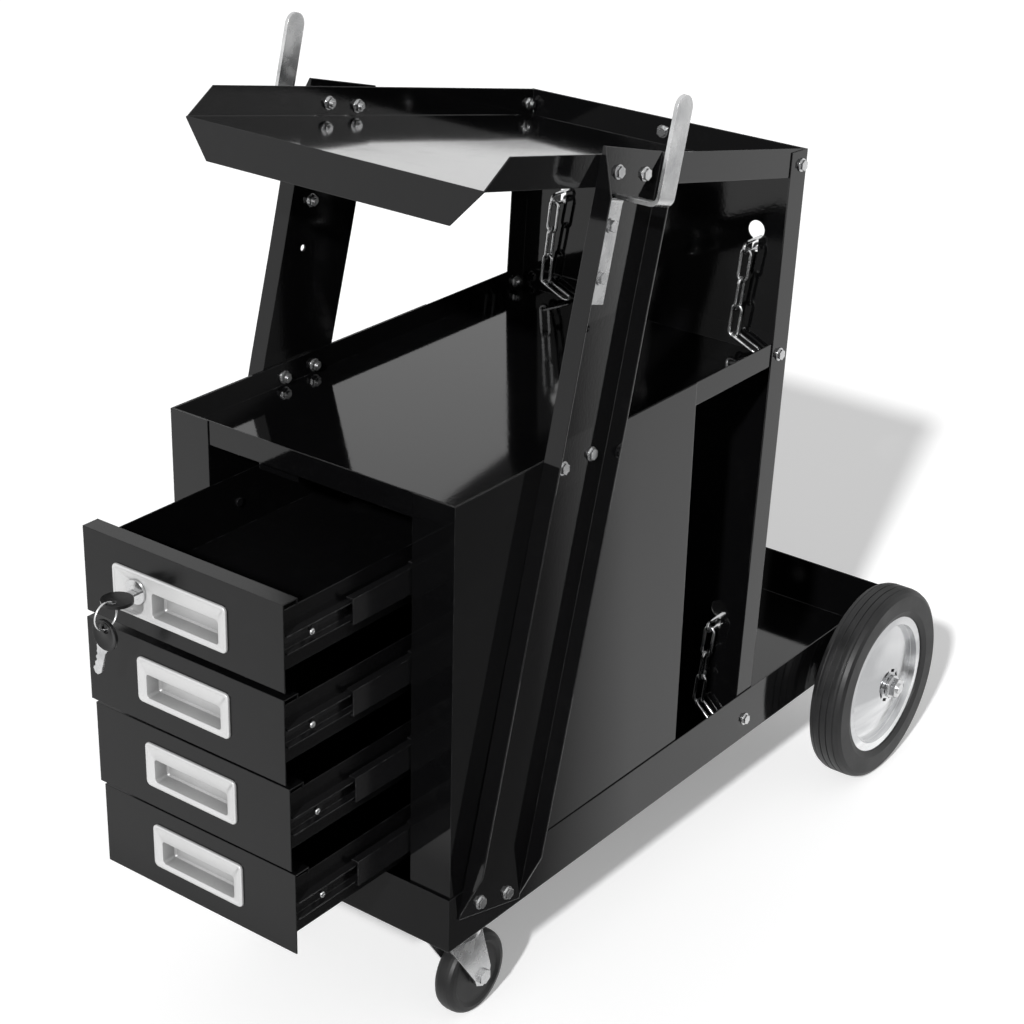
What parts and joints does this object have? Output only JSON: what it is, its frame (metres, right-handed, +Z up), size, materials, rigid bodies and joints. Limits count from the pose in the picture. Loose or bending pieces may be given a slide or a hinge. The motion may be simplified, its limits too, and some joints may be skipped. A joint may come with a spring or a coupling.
{
  "type": "welding cart",
  "caption": "Rolling welding cart of black sheet metal with a tilted top tray, a shelf, lockable drawers on slides, a gas bottle platform, chains and cable hooks.",
  "frame": {"origin": "on the floor under the middle of the cart's plan box, drawers open as pictured", "axes": "+Z up, -Y the way the drawers open, +X the right side seen from the drawers"},
  "size_m": [0.3946, 0.8918, 0.7562],
  "materials": {
    "black_enamel": "gloss black powder coat",
    "slide_steel": "black coated steel slides",
    "silver_plastic": "silver-grey moulding",
    "tyre": "dark grey rubber",
    "bright_steel": "bright plated pressed steel",
    "caster_rubber": "black hard rubber",
    "black_plastic": "black key grip",
    "chrome": "plated lock",
    "zinc_steel": "zinc plated"
  },
  "bodies": {
    "frame": {"base_tray": "black_enamel", "middle_shelf": "black_enamel", "top_tray": "black_enamel", "back_panel": "black_enamel", "left_leg": "black_enamel", "right_leg": "black_enamel", "cabinet_left_side": "black_enamel", "cabinet_right_side": "black_enamel", "cabinet_back": "black_enamel", "slide_panels": "black_enamel", "outer_rails": "slide_steel", "cable_hooks": "zinc_steel", "frame_bolts": "zinc_steel", "frame_nuts": "zinc_steel", "upper_chain": "zinc_steel", "lower_chain": "zinc_steel", "axle_brackets": "black_enamel", "rear_axle": "zinc_steel", "axle_nuts": "zinc_steel", "caster_plates": "zinc_steel", "caster_bolts": "zinc_steel"},
    "left_wheel": {"left_tyre": "tyre", "left_rim": "bright_steel"},
    "left_fork": {"left_caster_fork": "zinc_steel", "left_caster_axle": "zinc_steel"},
    "left_caster": {"left_caster_wheel": "caster_rubber"},
    "right_wheel": {"right_tyre": "tyre", "right_rim": "bright_steel"},
    "right_fork": {"right_caster_fork": "zinc_steel", "right_caster_axle": "zinc_steel"},
    "right_caster": {"right_caster_wheel": "caster_rubber"},
    "drawer_1": {"drawer_1_box": "black_enamel", "drawer_1_front": "black_enamel", "drawer_1_pull": "silver_plastic", "drawer_1_inner_rails": "slide_steel", "lock_housing": "chrome", "lock_nut": "zinc_steel"},
    "drawer_1_slide": {"drawer_1_middle_rails": "slide_steel"},
    "drawer_2": {"drawer_2_box": "black_enamel", "drawer_2_front": "black_enamel", "drawer_2_pull": "silver_plastic", "drawer_2_inner_rails": "slide_steel"},
    "drawer_2_slide": {"drawer_2_middle_rails": "slide_steel"},
    "drawer_3": {"drawer_3_box": "black_enamel", "drawer_3_front": "black_enamel", "drawer_3_pull": "silver_plastic", "drawer_3_inner_rails": "slide_steel"},
    "drawer_3_slide": {"drawer_3_middle_rails": "slide_steel"},
    "drawer_4": {"drawer_4_box": "black_enamel", "drawer_4_front": "black_enamel", "drawer_4_pull": "silver_plastic", "drawer_4_inner_rails": "slide_steel"},
    "drawer_4_slide": {"drawer_4_middle_rails": "slide_steel"},
    "lock": {"lock_plug": "chrome", "lock_cam": "zinc_steel", "key_blade": "zinc_steel", "key_grip": "black_plastic"},
    "ring": {"key_ring": "zinc_steel"}
  },
  "joints": [
    {"name": "drawer_1_pull_out", "type": "slide", "parent": "frame", "child": "drawer_1", "axis": [0, -1, 0], "range_m": [-0.134, 0.106]},
    {"name": "drawer_1_slide_follow", "type": "slide", "parent": "frame", "child": "drawer_1_slide", "axis": [0, -1, 0], "range_m": [-0.067, 0.053]},
    {"name": "drawer_2_pull_out", "type": "slide", "parent": "frame", "child": "drawer_2", "axis": [0, -1, 0], "range_m": [-0.135, 0.105]},
    {"name": "drawer_2_slide_follow", "type": "slide", "parent": "frame", "child": "drawer_2_slide", "axis": [0, -1, 0], "range_m": [-0.0675, 0.0525]},
    {"name": "drawer_3_pull_out", "type": "slide", "parent": "frame", "child": "drawer_3", "axis": [0, -1, 0], "range_m": [-0.131, 0.109]},
    {"name": "drawer_3_slide_follow", "type": "slide", "parent": "frame", "child": "drawer_3_slide", "axis": [0, -1, 0], "range_m": [-0.0655, 0.0545]},
    {"name": "drawer_4_pull_out", "type": "slide", "parent": "frame", "child": "drawer_4", "axis": [0, -1, 0], "range_m": [-0.127, 0.113]},
    {"name": "drawer_4_slide_follow", "type": "slide", "parent": "frame", "child": "drawer_4_slide", "axis": [0, -1, 0], "range_m": [-0.0635, 0.0565]},
    {"name": "lock_turn", "type": "hinge", "parent": "drawer_1", "child": "lock", "pos_m": [-0.043, -0.4021, 0.41645], "axis": [0, -1, 0], "range_deg": [0, 90]},
    {"name": "key_ring_swing", "type": "hinge", "parent": "lock", "child": "ring", "pos_m": [-0.043, -0.4346, 0.41897], "axis": [0, -1, 0], "range_deg": [-20, 20]},
    {"name": "left_wheel_turn", "type": "hinge", "parent": "frame", "child": "left_wheel", "pos_m": [-0.1675, 0.3509, 0.095], "axis": [1, 0, 0], "continuous": true},
    {"name": "left_caster_swivel", "type": "hinge", "parent": "frame", "child": "left_fork", "pos_m": [-0.105, -0.2241, 0.1005], "axis": [0, 0, 1], "continuous": true},
    {"name": "left_caster_turn", "type": "hinge", "parent": "left_fork", "child": "left_caster", "pos_m": [-0.105, -0.1961, 0.0365], "axis": [1, 0, 0], "continuous": true},
    {"name": "right_wheel_turn", "type": "hinge", "parent": "frame", "child": "right_wheel", "pos_m": [0.1675, 0.3509, 0.095], "axis": [1, 0, 0], "continuous": true},
    {"name": "right_caster_swivel", "type": "hinge", "parent": "frame", "child": "right_fork", "pos_m": [0.105, -0.2241, 0.1005], "axis": [0, 0, 1], "continuous": true},
    {"name": "right_caster_turn", "type": "hinge", "parent": "right_fork", "child": "right_caster", "pos_m": [0.105, -0.1961, 0.0365], "axis": [1, 0, 0], "continuous": true}
  ],
  "couplings": [
    {"joint": "drawer_1_slide_follow", "follows": "drawer_1_pull_out", "ratio": 0.5},
    {"joint": "drawer_2_slide_follow", "follows": "drawer_2_pull_out", "ratio": 0.5},
    {"joint": "drawer_3_slide_follow", "follows": "drawer_3_pull_out", "ratio": 0.5},
    {"joint": "drawer_4_slide_follow", "follows": "drawer_4_pull_out", "ratio": 0.5}
  ]
}
